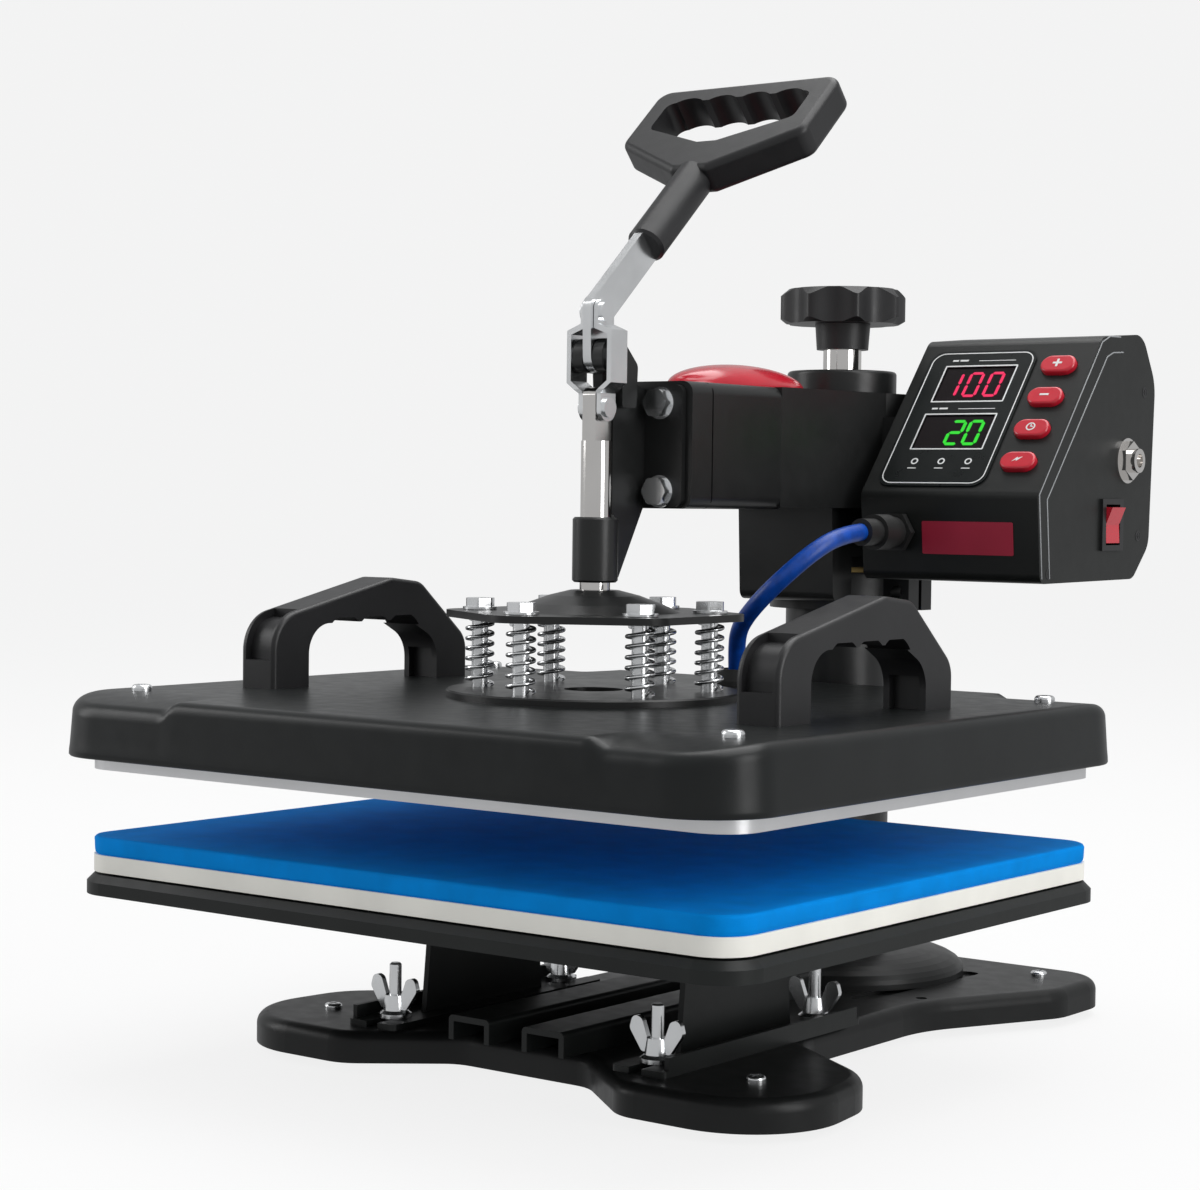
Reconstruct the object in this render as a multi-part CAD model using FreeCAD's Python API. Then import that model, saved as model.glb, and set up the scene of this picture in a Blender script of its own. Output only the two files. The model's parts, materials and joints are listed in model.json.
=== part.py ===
import FreeCAD
import Part

import math
import os

from FreeCAD import Vector

# ---------------------------------------------------------------------------
# Swing-away flat heat press.  Millimetres, +Z up, ground at z = 0.
# X is the machine's right, Y runs from the operator towards the column.
# The pressing shaft stands at x = 0, y = 0 while the model is built, and
# every part is moved back by FOOTPRINT_MIDDLE when it is written, so that
# the origin lies under the middle of the machine.
# ---------------------------------------------------------------------------

# Base
FOOT_HEIGHT = 5.0
BASE_TOP = 20.0
BASE_WALL = 3.0
LOBE_X, LOBE_Y = 129.0, -45.0
REAR_LOBE_X, REAR_LOBE_Y = 99.0, 277.0
BASE_REAR = 305.0

# Column and swinging arm
COLUMN_Y = 222.0
POST_RADIUS = 29.0
POST_TOP = 330.0
RUNNING_GAP = 0.05
BUSH_RADIUS = 31.95
ARM_HALF_WIDTH = 30.0
ARM_FRONT, ARM_BOTTOM, ARM_TOP = 38.0, 275.0, 338.0
HOUSING_RADIUS = 42.0
COLLAR_BOTTOM, COLLAR_TOP = 221.0, 241.0

# Lower platen
PLATEN_X, PLATEN_Y = 192.5, 158.5
PLATEN_CORNER = 18.0
FRAME_X, FRAME_Y = 196.0, 162.0
FRAME_BOTTOM, FRAME_TOP = 85.5, 95.0
BOARD_BOTTOM, BOARD_TOP, PAD_TOP = 96.2, 104.5, 113.4
BRACKET_X = 78.0
STUD_X = 80.0
STUD_FRONT, STUD_REAR = -53.0, 79.0

# Upper platen
COVER_X, COVER_Y = 202.0, 176.0
COVER_CORNER = 35.0
COVER_BOTTOM, COVER_TOP = 153.0, 183.0
COVER_ROOF, COVER_CROWN = 174.5, 180.0
DIP_LEFT, DIP_RIGHT = -119.0, 131.0
DIP_DEPTH, DIP_REACH = 5.6, 42.0
HEATER_BOTTOM, HEATER_TOP = 146.0, 156.0
HEATER_POST_X, HEATER_POST_Y = 60.0, 120.0
SCREW_X, SCREW_Y = 175.0, 134.0
HANDLE_X, HANDLE_HALF = 150.0, 11.5

# Spring stack
DISC_RADIUS = 72.0
DISC_TOP = 186.5
PRESS_PLATE_BOTTOM, PRESS_PLATE_TOP, DOME_TOP = 221.0, 224.5, 235.0
SPRING_CIRCLE = 56.5
SPRING_RADIUS, SPRING_WIRE = 6.25, 1.0
BOLT_RADIUS = 4.0

# Toggle: the lever turns about A, carries B, and B drives C through the links
PIVOT_A = (0.0, 349.0)
PIVOT_B = (-1.1, 370.0)
PIVOT_C = (0.0, 323.6)
ROD_RADIUS = 7.5
LEVER_LEAN = 48.0
EAR_INNER, EAR_OUTER, EAR_RADIUS = 3.0, 9.0, 8.3
LEVER_THICK, LEVER_WIDE = 5.0, 17.0
GRIP_START, GRIP_FAR, GRIP_HALF = 52.0, 181.0, 57.0
GRIP_THICK = 17.5

# Control box
BOX_LEFT, BOX_RIGHT = 47.0, 151.0
BOX_WALL = 2.5
SLOPE_FOOT = (168.0, 284.0)
SLOPE_HEAD = (236.0, 367.0)
BUTTON_X = 133.0
BUTTON_STATIONS = {"button_up": 87.0, "button_down": 65.0, "button_timer": 43.0, "button_mode": 21.0}
SOCKET_X, SOCKET_Z = 69.0, 264.0
ROCKER_X, ROCKER_Z = 149.0, 269.0
FUSE_Y, FUSE_Z = 265.0, 303.0

# Heater cable, from the plug on the control box to the grommet on the cover
CABLE_RADIUS = 4.5
GROMMET = (8.0, 112.0)
CABLE_ROUTE = [
    (69.0, 133.0, 264.0),
    (69.0, 114.0, 262.5),
    (64.0, 98.0, 255.0),
    (54.0, 88.0, 243.0),
    (41.0, 86.0, 231.0),
    (28.0, 91.0, 221.0),
    (17.0, 99.5, 212.5),
    (10.5, 107.5, 201.5),
    (8.0, 112.0, 189.2),
]

# Adjusting knob
KNOB_RADIUS, KNOB_BOTTOM, KNOB_TOP = 35.0, 377.0, 396.0

FOOTPRINT_MIDDLE = (BASE_REAR - COVER_Y) / 2

parts = {}


# ------------------------------- shape helpers ------------------------------
def block(x0, x1, y0, y1, z0, z1):
    return Part.makeBox(x1 - x0, y1 - y0, z1 - z0, Vector(x0, y0, z0))


def rod(radius, start, end):
    start, end = Vector(*start), Vector(*end)
    return Part.makeCylinder(radius, (end - start).Length, start, end - start)


def upright(radius, x, y, z0, z1):
    return rod(radius, (x, y, z0), (x, y, z1))


def crossways(radius, y, z, x0, x1):
    return rod(radius, (x0, y, z), (x1, y, z))


def ring(outer, inner, x, y, z0, z1):
    return upright(outer, x, y, z0, z1).cut(upright(inner, x, y, z0 - 1, z1 + 1))


def both_sides(shape):
    """The shape and its mirror image across x = 0, as one compound."""
    return Part.makeCompound([shape, shape.mirror(Vector(0, 0, 0), Vector(1, 0, 0))])


def mirrored(shape):
    return shape.mirror(Vector(0, 0, 0), Vector(1, 0, 0))


def placed(a, b, plane, level):
    if plane == "xy":
        return Vector(a, b, level)
    return Vector(level, a, b)


def rounded_outline(corners, plane="xy", level=0.0):
    """Closed wire through corners (a, b, radius), every corner rounded."""
    points = [Vector(a, b, 0) for a, b, radius in corners]
    count = len(corners)
    trims = []
    for i in range(count):
        back = (points[i - 1] - points[i]).normalize()
        ahead = (points[(i + 1) % count] - points[i]).normalize()
        half = back.getAngle(ahead) / 2
        reach = corners[i][2] / math.tan(half)
        middle = (back + ahead).normalize() * (corners[i][2] / math.sin(half) - corners[i][2])
        trims.append((points[i] + back * reach, points[i] + middle, points[i] + ahead * reach))
    edges = []
    for i in range(count):
        arc = [placed(p.x, p.y, plane, level) for p in trims[i]]
        leave = placed(trims[i][2].x, trims[i][2].y, plane, level)
        arrive = placed(trims[(i + 1) % count][0].x, trims[(i + 1) % count][0].y, plane, level)
        if corners[i][2] > 0:
            edges.append(Part.Arc(*arc).toShape())
        if (arrive - leave).Length > 1e-6:
            edges.append(Part.LineSegment(leave, arrive).toShape())
    return Part.Wire(edges)


def plate(corners, z0, z1):
    """Flat plate with a rounded outline in XY."""
    return Part.Face(rounded_outline(corners, "xy", z0)).extrude(Vector(0, 0, z1 - z0))


def profile(corners, x0, x1):
    """Solid with a rounded outline in YZ, running along X."""
    return Part.Face(rounded_outline(corners, "yz", x0)).extrude(Vector(x1 - x0, 0, 0))


def rounded_block(half_x, half_y, z0, z1, radius):
    corners = [(half_x, -half_y, radius), (half_x, half_y, radius),
               (-half_x, half_y, radius), (-half_x, -half_y, radius)]
    return plate(corners, z0, z1)


def turned(points, x=0.0, y=0.0):
    """Solid of revolution about the vertical through (x, y); points are (radius, z)."""
    wire = Part.makePolygon([Vector(x + r, y, z) for r, z in points + points[:1]])
    return Part.Face(wire).revolve(Vector(x, y, 0), Vector(0, 0, 1), 360)


def edges_at(shape, z):
    return [e for e in shape.Edges if e.BoundBox.ZMin > z - 0.01 and e.BoundBox.ZMax < z + 0.01]


def round_top(shape, z, radius):
    return shape.makeFillet(radius, edges_at(shape, z))


def hex_prism(across_flats, centre, axis, height):
    """Hexagonal bar from centre along axis."""
    base = Vector(*centre)
    direction = Vector(*axis)
    side = Vector(1, 0, 0) if abs(direction.x) < 0.5 else Vector(0, 0, 1)
    other = direction.cross(side)
    reach = across_flats / math.sqrt(3)
    ring_points = []
    for k in range(7):
        angle = math.radians(60 * k)
        ring_points.append(base + side * (reach * math.cos(angle)) + other * (reach * math.sin(angle)))
    return Part.Face(Part.makePolygon(ring_points)).extrude(direction * height)


def fused(shapes):
    result = shapes[0]
    for shape in shapes[1:]:
        result = result.fuse(shape)
    return result.removeSplitter()


def group(shapes):
    return Part.makeCompound(shapes)


# ------------------------------------ base ----------------------------------
def base_outline():
    right = [(40, -52, 20), (84, -88, 24), (174, -88, 46), (162, 0, 40), (91, 46, 30),
             (91, 165, 80), (130, 245, 30), (130, BASE_REAR, 27)]
    left = [(-x, y, radius) for x, y, radius in reversed(right)]
    return right + left


def lobe_points():
    return [(side * x, y) for x, y in ((LOBE_X, LOBE_Y), (REAR_LOBE_X, REAR_LOBE_Y)) for side in (1, -1)]


def make_base():
    pan = plate(base_outline(), FOOT_HEIGHT, BASE_TOP)
    pan = round_top(pan, BASE_TOP, 6.0)
    hollow_wire = rounded_outline(base_outline(), "xy", FOOT_HEIGHT).makeOffset2D(-BASE_WALL - 1.5)
    roof = BASE_TOP - BASE_WALL
    hollow = Part.Face(hollow_wire).extrude(Vector(0, 0, roof - FOOT_HEIGHT))
    pan = pan.cut(hollow)
    for x, y in lobe_points():
        pan = pan.cut(upright(2.1, x, y, FOOT_HEIGHT, BASE_TOP + 1))
    for x in (STUD_X, -STUD_X):
        for y in (STUD_FRONT, STUD_REAR):
            pan = pan.cut(upright(3.0, x, y, roof - 1, BASE_TOP + 1))
    for side in (1, -1):
        pan = pan.cut(upright(3.0, side * 84, 176, roof - 1, BASE_TOP + 1))
        channel = plate([(72, 262, 5), (60, 262, 5), (54, 150, 5), (66, 150, 5)], BASE_TOP - 1.6, BASE_TOP + 1)
        pan = pan.cut(channel if side > 0 else mirrored(channel))
    parts["base_plate"] = pan

    feet = []
    screws = []
    for x, y in lobe_points():
        foot = turned([(1.9, 0), (10.5, 0), (12, 2), (12, FOOT_HEIGHT), (9, FOOT_HEIGHT),
                       (9, roof), (1.9, roof)], x, y)
        feet.append(foot)
        head = round_top(upright(4.5, x, y, BASE_TOP, BASE_TOP + 2.6), BASE_TOP + 2.6, 1.6)
        head = head.cut(block(x - 3, x + 3, y - 0.5, y + 0.5, BASE_TOP + 1.6, BASE_TOP + 3))
        head = head.cut(block(x - 0.5, x + 0.5, y - 3, y + 3, BASE_TOP + 1.6, BASE_TOP + 3))
        screws.append(head.fuse(upright(1.9, x, y, FOOT_HEIGHT, BASE_TOP)))
    parts["base_feet"] = group(feet)
    parts["foot_screws"] = group(screws)


def make_rails():
    outer = block(10, 35, -65, 146, BASE_TOP, BASE_TOP + 12)
    outer = outer.makeFillet(2.5, [e for e in outer.Edges if e.BoundBox.YLength > 200 and e.BoundBox.ZMin > 30])
    inner = block(13, 32, -66, 147, BASE_TOP - 1, BASE_TOP + 9)
    parts["centre_rails"] = both_sides(outer.cut(inner))


def make_brackets():
    roof = FRAME_BOTTOM + 4.0
    foot = [(66, -70, 3), (96, -70, 3), (96, 97, 3), (66, 97, 3)]
    flange = plate(foot, BASE_TOP, BASE_TOP + 3)
    for y0, y1 in ((-75, STUD_FRONT + 6), (STUD_REAR - 6, 100)):
        flange = flange.cut(plate([(STUD_X - 3.6, y0, 3.5), (STUD_X + 3.6, y0, 3.5),
                                   (STUD_X + 3.6, y1, 3.5), (STUD_X - 3.6, y1, 3.5)],
                                  BASE_TOP - 1, BASE_TOP + 4))
    lip = block(93.5, 96, -66, 93, BASE_TOP + 3, BASE_TOP + 9)
    web = profile([(-34, BASE_TOP + 3, 0), (58, BASE_TOP + 3, 0), (52, roof - 3, 0), (-28, roof - 3, 0)],
                  BRACKET_X - 1.5, BRACKET_X + 1.5)
    head = block(66, 96, -28, 52, roof - 3, roof)
    right = fused([flange, lip, web, head])
    parts["bracket_right"] = right
    parts["bracket_left"] = mirrored(right)


def make_studs():
    roof = BASE_TOP - BASE_WALL
    studs = []
    for x in (STUD_X, -STUD_X):
        for y in (STUD_FRONT, STUD_REAR):
            stud = upright(3.0, x, y, roof - 1, 50)
            stud = stud.makeChamfer(0.8, edges_at(stud, 50))
            studs.append(stud.fuse(upright(5.5, x, y, roof - 4, roof)).removeSplitter())
    parts["bracket_studs"] = group(studs)


def wing_nut(x, y):
    foot = BASE_TOP + 3.2
    hub = turned([(3.05, foot), (8.0, foot), (8.0, foot + 2), (6.0, foot + 3.5), (5.0, foot + 11),
                  (3.05, foot + 11)], x, y)
    wing = Part.Face(rounded_outline([(4.2, foot + 4, 1), (8, foot + 4, 2), (15, foot + 14, 3),
                                      (13, foot + 21, 3), (8, foot + 19, 3), (4.2, foot + 9, 1)],
                                     "yz", -1.4)).extrude(Vector(2.8, 0, 0))
    wing.rotate(Vector(0, 0, 0), Vector(0, 0, 1), -90)
    other = wing.copy()
    other.rotate(Vector(0, 0, 0), Vector(0, 0, 1), 180)
    for half in (wing, other):
        half.translate(Vector(x, y, 0))
    bore = upright(3.05, x, y, foot - 1, foot + 12)
    return fused([hub, wing, other]).cut(bore)


def make_wing_nuts():
    for side, x in (("right", STUD_X), ("left", -STUD_X)):
        parts["wing_nut_front_" + side] = wing_nut(x, STUD_FRONT)
        parts["wing_nut_rear_" + side] = wing_nut(x, STUD_REAR)


def make_column():
    arc_points = [(POST_RADIUS, BASE_TOP), (DISC_RADIUS, BASE_TOP), (DISC_RADIUS, BASE_TOP + 3)]
    steps = 8
    for k in range(1, steps + 1):
        turn = math.radians(90 * k / steps)
        arc_points.append((DISC_RADIUS - 38 * (1 - math.cos(turn)), BASE_TOP + 3 + 12 * math.sin(turn)))
    arc_points.append((POST_RADIUS, BASE_TOP + 15))
    parts["column_foot"] = turned(arc_points, 0, COLUMN_Y)
    tube = ring(POST_RADIUS, POST_RADIUS - 4, 0, COLUMN_Y, BASE_TOP, POST_TOP - 25)
    head = ring(POST_RADIUS, 10.55, 0, COLUMN_Y, POST_TOP - 25, POST_TOP)
    parts["column_post"] = tube.fuse(head).removeSplitter()


def make_lower_platen():
    frame = rounded_block(FRAME_X, FRAME_Y, FRAME_BOTTOM, FRAME_TOP, PLATEN_CORNER + 3.5)
    frame = frame.makeChamfer(3.5, edges_at(frame, FRAME_TOP))
    frame = frame.cut(rounded_block(FRAME_X - 6, FRAME_Y - 6, FRAME_BOTTOM - 1, FRAME_BOTTOM + 4, 15))
    frame = frame.fuse(rounded_block(PLATEN_X - 6, PLATEN_Y - 6, FRAME_TOP, BOARD_BOTTOM, 12))
    parts["lower_frame"] = frame.removeSplitter()
    parts["lower_board"] = rounded_block(PLATEN_X, PLATEN_Y, BOARD_BOTTOM, BOARD_TOP, PLATEN_CORNER)
    pad = rounded_block(PLATEN_X, PLATEN_Y, BOARD_TOP, PAD_TOP, PLATEN_CORNER)
    parts["silicone_pad"] = round_top(pad, PAD_TOP, 2.0)


# ------------------------------- swinging arm -------------------------------
def make_bush():
    sleeve = ring(BUSH_RADIUS, POST_RADIUS + RUNNING_GAP, 0, COLUMN_Y, COLLAR_TOP + 0.3, 325)
    flange = ring(36, POST_RADIUS + RUNNING_GAP, 0, COLUMN_Y, COLLAR_TOP + 0.3, COLLAR_TOP + 3)
    parts["column_bush"] = sleeve.fuse(flange).removeSplitter()


def make_arm():
    beam = block(-ARM_HALF_WIDTH, ARM_HALF_WIDTH, ARM_FRONT, 122, ARM_BOTTOM, ARM_TOP)
    long_edges = [e for e in beam.Edges if e.BoundBox.YLength > 80]
    beam = beam.makeFillet(6.0, long_edges)
    seam = block(-40, 40, 55, 56, 260, 350).cut(block(-29.2, 29.2, 50, 60, ARM_BOTTOM + 0.8, ARM_TOP - 0.8))
    beam = beam.cut(seam)
    flare = plate([(ARM_HALF_WIDTH, 117, 0), (HOUSING_RADIUS - 3, 205, 0), (-HOUSING_RADIUS + 3, 205, 0),
                   (-ARM_HALF_WIDTH, 117, 0)], ARM_BOTTOM + 1, ARM_TOP)
    housing = upright(HOUSING_RADIUS, 0, COLUMN_Y, ARM_BOTTOM + 1, ARM_TOP)
    lower = profile([(169, 226, 5), (187, 226, 2), (187, 250, 0), (215, 250, 0), (215, 290, 0), (166, 290, 0)],
                    -ARM_HALF_WIDTH, ARM_HALF_WIDTH)
    skirt = upright(38, 0, COLUMN_Y, COLLAR_TOP + 3.3, ARM_BOTTOM + 2)
    boss = upright(30, 0, COLUMN_Y, ARM_TOP, 351)
    boss = round_top(boss, 351, 2.0)
    pad = block(38, BOX_LEFT, 202, 242, 255, 325)
    arm = fused([beam, flare, housing, lower, skirt, boss, pad])
    arm = arm.cut(upright(BUSH_RADIUS + RUNNING_GAP, 0, COLUMN_Y, 200, POST_TOP + 1.5))
    arm = arm.cut(upright(38.5, 0, COLUMN_Y, 200, COLLAR_TOP + 3.3))
    arm = arm.cut(upright(10.6, 0, COLUMN_Y, 300, 360))
    for x in (13.5, -13.5):
        for z in (283.5, 327.0):
            arm = arm.cut(rod(4.0, (x, ARM_FRONT - 1, z), (x, 54, z)))
    parts["arm_casting"] = arm


def make_arm_cap():
    dome = Part.makeSphere(1.0)
    scale = FreeCAD.Matrix()
    scale.scale(Vector(20, 56, 12))
    dome = dome.transformGeometry(scale)
    dome.translate(Vector(0, 120, ARM_TOP))
    dome = dome.common(block(-40, 40, 50, 190, ARM_TOP, ARM_TOP + 20))
    boss_gap = upright(30.3, 0, COLUMN_Y, ARM_TOP - 1, 360)
    parts["arm_dome"] = dome.cut(boss_gap)


def make_collar():
    collar = ring(38, POST_RADIUS + RUNNING_GAP, 0, COLUMN_Y, COLLAR_BOTTOM, COLLAR_TOP)
    ear = block(30, 52, COLUMN_Y - 12, COLUMN_Y + 12, COLLAR_BOTTOM, COLLAR_TOP - 3)
    tab = block(-20, 20, 187, 192, COLLAR_BOTTOM + 5, COLLAR_TOP)
    body = fused([collar, ear, tab]).cut(upright(POST_RADIUS + RUNNING_GAP, 0, COLUMN_Y, 200, 260))
    body = body.cut(block(POST_RADIUS - 2, 53, COLUMN_Y - 1.5, COLUMN_Y + 1.5, 200, 260))
    body = body.cut(rod(3.5, (44, COLUMN_Y - 20, 231), (44, COLUMN_Y + 20, 231)))
    parts["column_collar"] = body


def make_toggle_bracket():
    ay, az = PIVOT_A
    flange = block(-26, 26, ARM_FRONT - 3, ARM_FRONT, 276, 336)
    upright_edges = [e for e in flange.Edges if e.BoundBox.YLength > 2.9 and e.BoundBox.XLength < 0.1]
    flange = flange.makeFillet(4.0, upright_edges)
    web = profile([(35, 276, 0), (35, 334, 0), (22, 338, 0), (10, 338, 0), (9, 330, 0), (9, 271, 0),
                   (11, 268, 0), (11, 241, 0), (15, 241, 0)], -3, 3)
    ear = profile([(ay - EAR_RADIUS, az - EAR_RADIUS, 6.0), (8, az - EAR_RADIUS, 0), (9, 324, 0),
                   (20, 324, 2), (21, 345, 4), (ay + EAR_RADIUS, az + EAR_RADIUS, 7.0),
                   (ay - EAR_RADIUS, az + EAR_RADIUS, 8.0)], EAR_INNER, EAR_OUTER)
    body = fused([flange, web, ear, mirrored(ear)])
    body = body.cut(upright(11.2, 0, 0, 230, 272))
    body = body.cut(crossways(4.0, ay, az, -12, 12))
    for x in (13.5, -13.5):
        for z in (283.5, 327.0):
            body = body.cut(rod(4.0, (x, 30, z), (x, 40, z)))
    parts["toggle_bracket"] = body

    bolts = []
    for x in (13.5, -13.5):
        for z in (283.5, 327.0):
            shank = rod(4.0, (x, ARM_FRONT - 3, z), (x, 53, z))
            washer = rod(8.0, (x, ARM_FRONT - 4.5, z), (x, ARM_FRONT - 3, z))
            head = hex_prism(13.0, (x, ARM_FRONT - 9.6, z), (0, 1, 0), 5.1)
            head = head.common(rod(7.1, (x, 20, z), (x, 40, z)))
            bolts.append(fused([shank, washer, head]))
    parts["bracket_bolts"] = group(bolts)

    sleeve = ring(11.2, ROD_RADIUS + RUNNING_GAP, 0, 0, 238.8, 270.5)
    outer_rims = [e for e in sleeve.Edges if e.Length > 60]
    parts["guide_sleeve"] = sleeve.makeChamfer(1.0, outer_rims)
    pin = crossways(4.0, ay, az, -EAR_OUTER, EAR_OUTER)
    for x in (EAR_OUTER, -EAR_OUTER - 1.7):
        pin = pin.fuse(crossways(6.0, ay, az, x, x + 1.7))
    parts["pivot_pin"] = pin.removeSplitter()


# ----------------------------------- lever ----------------------------------
def lever_frame():
    """Origin at B, with its Z axis along the leaning part of the lever."""
    turn = FreeCAD.Rotation(Vector(1, 0, 0), -LEVER_LEAN)
    return FreeCAD.Placement(Vector(0, PIVOT_B[0], PIVOT_B[1]), turn)


def on_lever(shape):
    moved = shape.copy()
    moved.Placement = lever_frame().multiply(moved.Placement)
    return moved


def make_lever():
    ay, az = PIVOT_A
    by, bz = PIVOT_B
    half = LEVER_THICK / 2
    lower = profile([(ay - 8.3, az - 8.3, 8.0), (ay + 8.3, az - 8.3, 8.0), (by + 8.3, bz + 2, 4),
                     (by + 2, bz + 8, 3), (by - 8.3, bz + 8, 6)], -half, half)
    bar = on_lever(block(-half, half, -LEVER_WIDE / 2, LEVER_WIDE / 2, 0, GRIP_START + 20))
    lever = fused([lower, bar]).cut(crossways(4.05, ay, az, -10, 10))
    lever = lever.cut(crossways(3.5, by, bz, -10, 10))
    parts["lever_bar"] = lever

    neck = Part.makeCylinder(10.0, 58, Vector(0, 0, GRIP_START))
    neck = neck.makeChamfer(1.5, edges_at(neck, GRIP_START))
    outer_loop = [(-GRIP_HALF, GRIP_FAR, 9), (-GRIP_HALF, 133, 8), (-11, 106, 5), (11, 106, 5),
                  (GRIP_HALF, 133, 8), (GRIP_HALF, GRIP_FAR, 9)]
    inner_loop = [(-GRIP_HALF + 12, GRIP_FAR - 13, 5), (-GRIP_HALF + 12, 145, 5), (-6, 129, 3), (6, 129, 3),
                  (GRIP_HALF - 12, 145, 5), (GRIP_HALF - 12, GRIP_FAR - 13, 5)]
    outer = plate(outer_loop, -GRIP_THICK / 2, GRIP_THICK / 2)
    outer = outer.makeFillet(3.5, edges_at(outer, -GRIP_THICK / 2) + edges_at(outer, GRIP_THICK / 2))
    loop = outer.cut(plate(inner_loop, -GRIP_THICK, GRIP_THICK))
    for k in range(4):
        loop = loop.cut(Part.makeCylinder(13.5, 2 * GRIP_THICK, Vector(-31.5 + 21 * k, GRIP_FAR - 23.5, -GRIP_THICK))
                        .common(plate(inner_loop_band(), -GRIP_THICK, GRIP_THICK)))
    loop.rotate(Vector(0, 0, 0), Vector(1, 0, 0), 90)
    slot = block(-half, half, -LEVER_WIDE / 2, LEVER_WIDE / 2, GRIP_START - 1, GRIP_START + 20)
    grip = fused([neck, loop]).cut(slot)
    parts["lever_grip"] = on_lever(grip)

    pin = crossways(3.5, by, bz, -5.25, 5.25)
    for x in (5.25, -6.75):
        pin = pin.fuse(crossways(5.0, by, bz, x, x + 1.5))
    parts["toggle_pin"] = pin.removeSplitter()


def inner_loop_band():
    half = GRIP_HALF - 12
    return [(-half, GRIP_FAR - 14, 0), (half, GRIP_FAR - 14, 0), (half, GRIP_FAR - 8, 0), (-half, GRIP_FAR - 8, 0)]


def make_links():
    by, bz = PIVOT_B
    cy, cz = PIVOT_C
    half = 6.0
    upper = bz - 8.0
    lower = cz + 13.0
    path = [(2.75, bz + 7), (2.75, upper), (11.0, upper - 3), (11.0, lower), (4.25, lower - 5), (4.25, cz - 7),
            (6.75, cz - 7), (6.75, lower - 6), (13.5, lower - 1), (13.5, upper - 1), (5.25, upper + 2.2),
            (5.25, bz + 7)]
    face = Part.Face(Part.makePolygon([Vector(x, -half - 1, z) for x, z in path + path[:1]]))
    strap = face.extrude(Vector(0, 2 * half + 2, 0))
    outline = profile([(by - half, bz + 6.5, 5.5), (by - half, 350, 3), (-8, 345, 2), (-8, 335, 3),
                       (cy - half, 330, 3), (cy - half, cz - 6.5, 5.5), (cy + half, cz - 6.5, 5.5),
                       (cy + half, bz - 2, 3), (by + half, bz + 6.5, 5.5)], 0, 20)
    strap = strap.common(outline).cut(crossways(3.55, by, bz, 0, 20))
    rivet = crossways(3.4, cy, cz, 4.25, 6.75)
    rivet_head = crossways(4.8, cy, cz, 6.75, 8.2)
    link = fused([strap, rivet, rivet_head])
    parts["toggle_links"] = both_sides(link)


# ---------------------------------- plunger ---------------------------------
def bolt_circle(radius=SPRING_CIRCLE):
    return [(radius * math.cos(math.radians(30 + 60 * k)), radius * math.sin(math.radians(30 + 60 * k)))
            for k in range(6)]


def make_plunger():
    cy, cz = PIVOT_C
    shaft = upright(ROD_RADIUS, 0, 0, PRESS_PLATE_BOTTOM, cz - 16)
    tongue = profile([(-7.0, cz - 17, 0), (7.0, cz - 17, 0), (7.0, cz + 10, 6), (-7.0, cz + 10, 6)], -4, 4)
    tongue = tongue.common(upright(ROD_RADIUS, 0, 0, cz - 20, cz + 20))
    body = fused([shaft, tongue]).cut(crossways(3.5, cy, cz, -10, 10))
    parts["plunger_rod"] = body
    parts["clevis_pin"] = crossways(3.5, cy, cz, -4.0, 4.0)

    corners = [(x * 1.34, y * 1.34, 17) for x, y in bolt_circle()]
    press = plate(corners, PRESS_PLATE_BOTTOM, PRESS_PLATE_TOP)
    dome_points = [(0, PRESS_PLATE_TOP), (42, PRESS_PLATE_TOP), (33, 228.5), (22, 232.5), (12, DOME_TOP),
                   (0, DOME_TOP)]
    press = press.fuse(turned(dome_points)).removeSplitter()
    press = press.cut(upright(ROD_RADIUS, 0, 0, 200, 240))
    for x, y in bolt_circle():
        press = press.cut(upright(BOLT_RADIUS + 0.4, x, y, 200, 240))
    parts["pressure_plate"] = press


# -------------------------------- upper platen ------------------------------
def make_spring_stack():
    disc = ring(DISC_RADIUS, 14.5, 0, 0, COVER_TOP, DISC_TOP)
    disc = disc.makeChamfer(0.8, [e for e in disc.Edges if e.BoundBox.ZMin > DISC_TOP - 0.01 and e.Length > 400])
    bolts = []
    springs = []
    for x, y in bolt_circle():
        disc = disc.cut(upright(BOLT_RADIUS, x, y, COVER_TOP - 1, DISC_TOP + 1))
        shank = upright(BOLT_RADIUS, x, y, COVER_TOP, PRESS_PLATE_TOP + 0.3)
        head_foot = PRESS_PLATE_TOP + 0.3
        washer = upright(8.5, x, y, head_foot, head_foot + 1.2)
        head = hex_prism(13.0, (x, y, head_foot + 1.2), (0, 0, 1), 4.3)
        head = head.common(upright(7.2, x, y, head_foot, head_foot + 6))
        bolts.append(fused([shank, washer, head]))
        foot = DISC_TOP + SPRING_WIRE + 0.1
        rise = PRESS_PLATE_BOTTOM - DISC_TOP - 2 * SPRING_WIRE - 0.4
        helix = Part.makeHelix(rise / 6.5, rise, SPRING_RADIUS)
        section = Part.Wire(Part.makeCircle(SPRING_WIRE, Vector(SPRING_RADIUS, 0, 0), Vector(0, 1, 0)))
        spring = Part.Wire(helix).makePipeShell([section], True, True)
        spring.translate(Vector(x, y, foot))
        springs.append(spring)
    parts["spring_plate"] = disc
    parts["spring_bolts"] = group(bolts)
    parts["springs"] = group(springs)


def cover_dip(start, end, side_y):
    """Wedge above the place where the cover's top slopes down to its front or rear edge."""
    reach = COVER_Y - DIP_REACH
    wedge = profile([(reach, COVER_TOP, 0), (COVER_Y + 1, COVER_TOP - DIP_DEPTH, 0),
                     (COVER_Y + 1, COVER_TOP + 5, 0), (reach, COVER_TOP + 5, 0)], start, end)
    return wedge if side_y > 0 else wedge.mirror(Vector(0, 0, 0), Vector(0, 1, 0))


def screw_places():
    return [(x, y) for x in (SCREW_X, -SCREW_X) for y in (SCREW_Y, -SCREW_Y)]


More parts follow.
